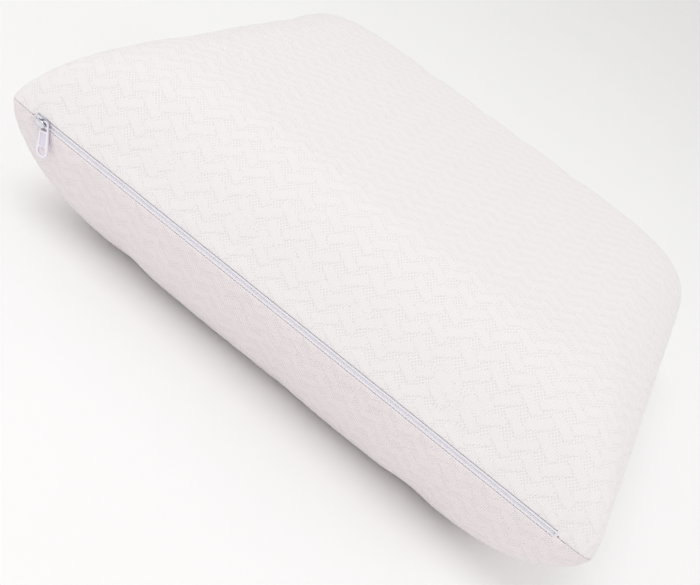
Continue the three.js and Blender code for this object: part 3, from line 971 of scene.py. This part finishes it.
def material(name):
    """A new material with its node sheet and its surface shader."""
    made = bpy.data.materials.new(name)
    made.use_nodes = True
    tree = made.node_tree
    tree.nodes.clear()
    sheet = Sheet(tree)
    shader = sheet.add("ShaderNodeBsdfPrincipled")
    output = sheet.add("ShaderNodeOutputMaterial")
    tree.links.new(shader.outputs["BSDF"], output.inputs["Surface"])
    return made, sheet, shader.inputs


def object_place(sheet):
    return sheet.add("ShaderNodeTexCoord").outputs["Object"]


def rough_between(sheet, inputs, noise, least, most, span=(0.2, 0.8)):
    """Lets the roughness wander between two values with a noise."""
    sheet.put(inputs["Roughness"], sheet.ramp(noise, *span, least, most))


def knitted_cover(name, bright, shade, painted_recess_shade):
    """The cover's double knit, with painted shade: its ground is coloured darker than the raised bars,
    and its pits and furrows darker still.
    """
    made, sheet, inputs = material(name)
    cloth = sheet.add("ShaderNodeUVMap", uv_map="cloth").outputs["UV"]
    knit = sheet.group(JACQUARD_GROUP, Cloth=cloth)
    fuzz = sheet.group(FUZZ_GROUP, Place=object_place(sheet))
    # Painted shade: the ground between the raised bars is coloured darker, and the pits and the bars'
    # furrows take the darkest colour, as if in shadow.
    ground = sheet.mix(knit.outputs["Bars"], shade, bright)
    furrowed = sheet.mix(sheet.math("MULTIPLY", knit.outputs["Furrows"], 0.6), ground, painted_recess_shade)
    pitted = sheet.mix(sheet.math("MULTIPLY", knit.outputs["Pits"], 0.8), furrowed, painted_recess_shade)
    mottled = sheet.mix(sheet.ramp(fuzz.outputs["Mottle"], 0.3, 0.7, 0.0, 0.12), pitted, shade)
    sheet.put(inputs["Base Color"], mottled)
    rough_between(sheet, inputs, fuzz.outputs["Grain"], 0.82, 0.97)
    weave = sheet.bump(knit.outputs["Height"], 0.3 * MM, 0.8)
    sheet.put(inputs["Normal"], sheet.bump(fuzz.outputs["Grain"], 0.08 * MM, 0.5, weave))
    inputs["Sheen Weight"].default_value = 0.25
    inputs["Sheen Roughness"].default_value = 0.5
    inputs["Specular IOR Level"].default_value = 0.15
    return made


def smooth_jersey(name, light, dark, courses):
    """Fine plain knit or foam skin."""
    made, sheet, inputs = material(name)
    place = object_place(sheet)
    fuzz = sheet.group(FUZZ_GROUP, Place=place)
    wave = sheet.add("ShaderNodeTexWave", wave_type="BANDS", bands_direction="X")
    sheet.put(wave.inputs["Vector"], place)
    wave.inputs["Scale"].default_value = courses
    wave.inputs["Distortion"].default_value = 1.5
    sheet.put(inputs["Base Color"], sheet.mix(fuzz.outputs["Mottle"], light, dark))
    rough_between(sheet, inputs, fuzz.outputs["Grain"], 0.8, 0.95)
    sheet.put(inputs["Normal"], sheet.bump(wave.outputs["Fac"], 0.1 * MM, 0.5))
    return made


def woven_tape():
    """The zip's tape, a fine twill."""
    made, sheet, inputs = material("woven_tape")
    place = object_place(sheet)
    split = sheet.add("ShaderNodeSeparateXYZ")
    sheet.put(split.inputs[0], place)
    along_tape = sheet.math("MULTIPLY", split.outputs["X"], 2 * math.pi / TWILL_PITCH)
    height_on_tape = sheet.math("ABSOLUTE", split.outputs["Z"])
    up_tape = sheet.math("MULTIPLY", height_on_tape, 2 * math.pi / TWILL_PITCH)
    twill = sheet.math("SINE", sheet.math("ADD", along_tape, up_tape))
    fuzz = sheet.group(FUZZ_GROUP, Place=place)
    share = sheet.ramp(twill, -1.0, 1.0)
    sheet.put(inputs["Base Color"], sheet.mix(share, color(228, 225, 233), color(246, 244, 250)))
    rough_between(sheet, inputs, fuzz.outputs["Grain"], 0.75, 0.92)
    sheet.put(inputs["Normal"], sheet.bump(twill, 0.12 * MM, 0.7))
    return made


def spun_thread(name, light, dark):
    """Thread laid in short slanting plies."""
    made, sheet, inputs = material(name)
    place = object_place(sheet)
    wave = sheet.add("ShaderNodeTexWave", wave_type="BANDS", bands_direction="DIAGONAL")
    sheet.put(wave.inputs["Vector"], place)
    wave.inputs["Scale"].default_value = THREAD_PLIES
    fuzz = sheet.group(FUZZ_GROUP, Place=place)
    sheet.put(inputs["Base Color"], sheet.mix(wave.outputs["Fac"], dark, light))
    rough_between(sheet, inputs, fuzz.outputs["Grain"], 0.55, 0.8)
    sheet.put(inputs["Normal"], sheet.bump(wave.outputs["Fac"], 0.06 * MM, 0.6))
    inputs["Sheen Weight"].default_value = 0.3
    return made


def nylon_coil():
    """The zip's moulded wire, milky and slightly shiny."""
    made, sheet, inputs = material("nylon_coil")
    fuzz = sheet.group(FUZZ_GROUP, Place=object_place(sheet))
    shade = sheet.mix(fuzz.outputs["Mottle"], color(242, 240, 247), color(250, 249, 253))
    sheet.put(inputs["Base Color"], shade)
    rough_between(sheet, inputs, fuzz.outputs["Mottle"], 0.35, 0.5)
    return made


def polished_metal():
    """Bright chrome, with a painted dark reflection where it turns away."""
    made, sheet, inputs = material("polished_metal")
    place = object_place(sheet)
    fuzz = sheet.group(FUZZ_GROUP, Place=place, Size=6.0)
    tone = sheet.mix(fuzz.outputs["Mottle"], color(206, 206, 216), color(238, 238, 244))
    # Painted reflection: the colour turns dark purple-grey towards grazing angles, standing in for the
    # dark surroundings that the chrome reflects.
    facing = sheet.add("ShaderNodeLayerWeight").outputs["Facing"]
    rim = sheet.ramp(facing, 0.45, 0.8, 0.0, 0.85)
    sheet.put(inputs["Base Color"], sheet.mix(rim, tone, color(70, 66, 84)))
    inputs["Metallic"].default_value = 1.0
    rough_between(sheet, inputs, fuzz.outputs["Mottle"], 0.1, 0.24, span=(0.3, 0.75))
    sheet.put(inputs["Normal"], sheet.bump(fuzz.outputs["Grain"], 0.01 * MM, 0.25))
    return made


def glossy_enamel():
    """Thick white enamel with a faint lavender cast, with painted shade as a deeper lavender grey in the
    recessed panel.
    """
    made, sheet, inputs = material("glossy_enamel")
    place = object_place(sheet)
    fuzz = sheet.group(FUZZ_GROUP, Place=place, Size=4.0)
    split = sheet.add("ShaderNodeSeparateXYZ")
    sheet.put(split.inputs[0], place)
    # Painted shade: the sunk panel, set back from the tab's front, is coloured a darker lavender grey.
    recessed = sheet.ramp(split.outputs["Y"], RECESS_START, RECESS_START + RECESS_BLEND)
    rim = sheet.mix(fuzz.outputs["Mottle"], color(240, 236, 246), color(248, 245, 251))
    sheet.put(inputs["Base Color"], sheet.mix(recessed, rim, color(228, 221, 236)))
    rough_between(sheet, inputs, fuzz.outputs["Mottle"], 0.22, 0.34, span=(0.3, 0.7))
    sheet.put(inputs["Normal"], sheet.bump(fuzz.outputs["Mottle"], 0.05 * MM, 0.3))
    inputs["Coat Weight"].default_value = 0.5
    inputs["Coat Roughness"].default_value = 0.12
    return made


# ---- Camera ----
CAMERA_AZIMUTH = 10.09
CAMERA_ELEVATION = 31.92
CAMERA_ROLL = 32.91
CAMERA_DISTANCE = 0.7615
CAMERA_RIGHT = -0.0472
CAMERA_UP = -0.0584
CAMERA_LENS = 45.48
CAMERA_SENSOR = 36
CAMERA_NEAREST = 0.01


def add_camera():
    azimuth = math.radians(CAMERA_AZIMUTH)
    elevation = math.radians(CAMERA_ELEVATION)
    roll = math.radians(CAMERA_ROLL)
    outwards = Vector((math.sin(azimuth), -math.cos(azimuth), 0))
    back = outwards * math.cos(elevation) + Vector((0, 0, math.sin(elevation)))
    level = Vector((math.cos(azimuth), math.sin(azimuth), 0))
    upright = back.cross(level)
    right = level * math.cos(roll) + upright * math.sin(roll)
    up = upright * math.cos(roll) - level * math.sin(roll)
    place = back * CAMERA_DISTANCE + right * CAMERA_RIGHT + up * CAMERA_UP
    place.z += SEAM_HEIGHT
    data = bpy.data.cameras.new("camera")
    data.lens = CAMERA_LENS
    data.sensor_width = CAMERA_SENSOR
    data.clip_start = CAMERA_NEAREST
    camera = new_object("camera", data)
    turn = Matrix((right, up, back)).transposed().to_4x4()
    camera.matrix_world = Matrix.Translation(place) @ turn
    bpy.context.scene.camera = camera


# ---- Light and floor ----
LIGHT_SIZE = 1.3
LIGHT_TARGET = (0, 0, 0.1)
KEY_PLACE = (-0.5, -0.9, 2.1)
KEY_POWER = 12
FILL_PLACE = (1.7, 0.1, 0.9)
FILL_POWER = 2.5
SKY_COLOR = (1.0, 0.99, 0.985, 1)
SKY_STRENGTH = 0.77
FLOOR_SIZE = 8
FLOOR_LEVEL = -0.5 * MM


def add_light(name, place, power):
    data = bpy.data.lights.new(name, "AREA")
    data.shape = "DISK"
    data.size = LIGHT_SIZE
    data.energy = power
    light = new_object(name, data)
    light.location = place
    aim = Vector(LIGHT_TARGET) - Vector(place)
    light.rotation_euler = aim.to_track_quat("-Z", "Y").to_euler()


def add_studio():
    world = bpy.data.worlds.new("studio")
    bpy.context.scene.world = world
    world.use_nodes = True
    sky = world.node_tree.nodes["Background"]
    sky.inputs["Color"].default_value = SKY_COLOR
    sky.inputs["Strength"].default_value = SKY_STRENGTH
    add_light("key", KEY_PLACE, KEY_POWER)
    add_light("fill", FILL_PLACE, FILL_POWER)


def add_floor():
    bpy.ops.mesh.primitive_plane_add(size=FLOOR_SIZE, location=(0, 0, FLOOR_LEVEL))
    floor = bpy.context.object
    floor.name = "floor"
    made, sheet, inputs = material("pale_floor")
    fuzz = sheet.group(FUZZ_GROUP, Place=object_place(sheet), Size=0.2)
    tone = sheet.mix(fuzz.outputs["Mottle"], color(253, 253, 253), color(250, 250, 250))
    sheet.put(inputs["Base Color"], tone)
    inputs["Roughness"].default_value = 0.9
    inputs["Specular IOR Level"].default_value = 0.1
    floor.data.materials.append(made)
    floor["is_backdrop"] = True


# ---- Painting and joining to the bodies ----
def repaint(node, made):
    """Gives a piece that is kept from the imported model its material."""
    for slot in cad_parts[node].material_slots:
        slot.material = made


def finish_piece(piece, body, slot, made, *nodes):
    """Paints a piece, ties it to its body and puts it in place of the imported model's own."""
    piece.data.materials.clear()
    piece.data.materials.append(made)
    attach(piece, body)
    if nodes:
        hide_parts(*nodes)


# ---- Floor, light, camera and materials ----
bpy.context.scene.view_settings.view_transform = "Standard"
add_camera()
add_studio()
add_floor()

COVERS = {
    1: knitted_cover("knitted_top", color(249, 246, 246), color(244, 240, 241), color(229, 223, 225)),
    # The underside uses the same knit painted greyer and pinker: painted shade with a warm bounced tint,
    # for the pillow's shaded lower side.
    -1: knitted_cover("knitted_lower", color(248, 241, 242), color(241, 234, 236), color(223, 214, 217)),
}
JERSEY = smooth_jersey("liner_jersey", color(246, 246, 244), color(232, 232, 230), JERSEY_COURSES)
FOAM = smooth_jersey("foam_skin", color(243, 236, 216), color(232, 222, 198), FOAM_CELLS)
TAPE = woven_tape()
THREAD = spun_thread("white_thread", color(252, 250, 254), color(234, 231, 239))
NYLON = nylon_coil()
METAL = polished_metal()
ENAMEL = glossy_enamel()

MATERIAL_OF = {
    "foam_core": FOAM,
    "liner_top": JERSEY,
    "liner_bottom": JERSEY,
    "seam_allowance": JERSEY,
    "overlock_thread": THREAD,
    "zip_tape_upper": TAPE,
    "zip_tape_lower": TAPE,
    "zip_coil_upper": NYLON,
    "zip_coil_lower": NYLON,
    "coil_cord_upper": THREAD,
    "coil_cord_lower": THREAD,
    "coil_stitching_upper": THREAD,
    "coil_stitching_lower": THREAD,
    "bar_tack_closed_end": THREAD,
    "bar_tack_open_end": THREAD,
    "slider_body": METAL,
    "slider_bridge": METAL,
    "lock_spring": METAL,
    "pull_tab": ENAMEL,
}
for node, made in MATERIAL_OF.items():
    repaint(node, made)

# ---- The cover ----
moves = settle_cloth()
for label, side in (("top", 1), ("bottom", -1)):
    panel = cover_panel(f"knitted_{label}", side, moves[side])
    finish_piece(panel, "pillow", "jacquard", COVERS[side], f"cover_{label}_panel")

# ---- The zip ----
ROW = build_repeat_tree()


def build_coil(label, side, shift):
    """One half of the chain: a row of turns, shifted by a share of a pitch, round a filled core."""
    low, high = (list(corner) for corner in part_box(f"zip_coil_{label}"))
    core = coil_core(low, high, side)
    crossed = high if side < 0 else low
    crossed[2] = SEAM_HEIGHT - side * COIL_CROSSING
    copies = int((CHAIN_STOP - CHAIN_START) / COIL_PITCH) - 1
    start = (CHAIN_START + COIL_PITCH * (FIRST_TURN + shift), 0, 0)
    spacing = (COIL_PITCH, 0, 0)
    turn = coil_turn(low, high)
    coil = row_of_copies(f"coil_{label}", ROW, turn, copies, start, spacing, NYLON)
    joined(coil, core)
    finish_piece(coil, "pillow", "coil", NYLON, f"zip_coil_{label}")


def build_stitching(label):
    """The row of chain stitches that sews one coil to its tape."""
    low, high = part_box(f"coil_stitching_{label}")
    level = (low[2] + high[2]) / 2
    copies = int((CHAIN_STOP - CHAIN_START) / STITCH_PITCH) - 1
    start = (CHAIN_START + STITCH_PITCH * FIRST_LINK, 0, 0)
    spacing = (STITCH_PITCH, 0, 0)
    link = chain_link(low[1] + LINK_SEAT, level)
    links = row_of_copies(f"chain_stitch_{label}", ROW, link, copies, start, spacing, THREAD)
    joined(links, stitch_bed(low[1] + BED_SEAT, level))
    finish_piece(links, "pillow", "thread", THREAD, f"coil_stitching_{label}")


def build_tack(label):
    """One bar tack: strands side by side across the chain's end."""
    low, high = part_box(f"bar_tack_{label}")
    copies = int((high[0] - low[0]) / TACK_PITCH)
    start = (low[0] + TACK_PITCH / 2, 0, 0)
    spacing = (TACK_PITCH, 0, 0)
    strand = tack_strand(low, high)
    strands = row_of_copies(f"tack_{label}", ROW, strand, copies, start, spacing, THREAD)
    finish_piece(strands, "pillow", "thread", THREAD, f"bar_tack_{label}")


for label, side, shift in (("upper", 1, 0.0), ("lower", -1, 0.5)):
    build_coil(label, side, shift)
    build_stitching(label)
for label in ("closed_end", "open_end"):
    build_tack(label)

# ---- The slider and its tab ----
body = rounded_copy("slider_body", BODY_EDGE)
finish_piece(body, "slider", "chrome", METAL, "slider_body")
bridge = rounded_copy("slider_bridge", BRIDGE_EDGE)
joined(bridge, crown_dome(*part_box("slider_bridge")))
finish_piece(bridge, "slider", "chrome", METAL, "slider_bridge")
tab = rounded_copy("pull_tab", TAB_EDGE)
finish_piece(tab, "pull", "enamel", ENAMEL, "pull_tab")

both = [[list(corner) for corner in box] for box in (cad_box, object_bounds())]
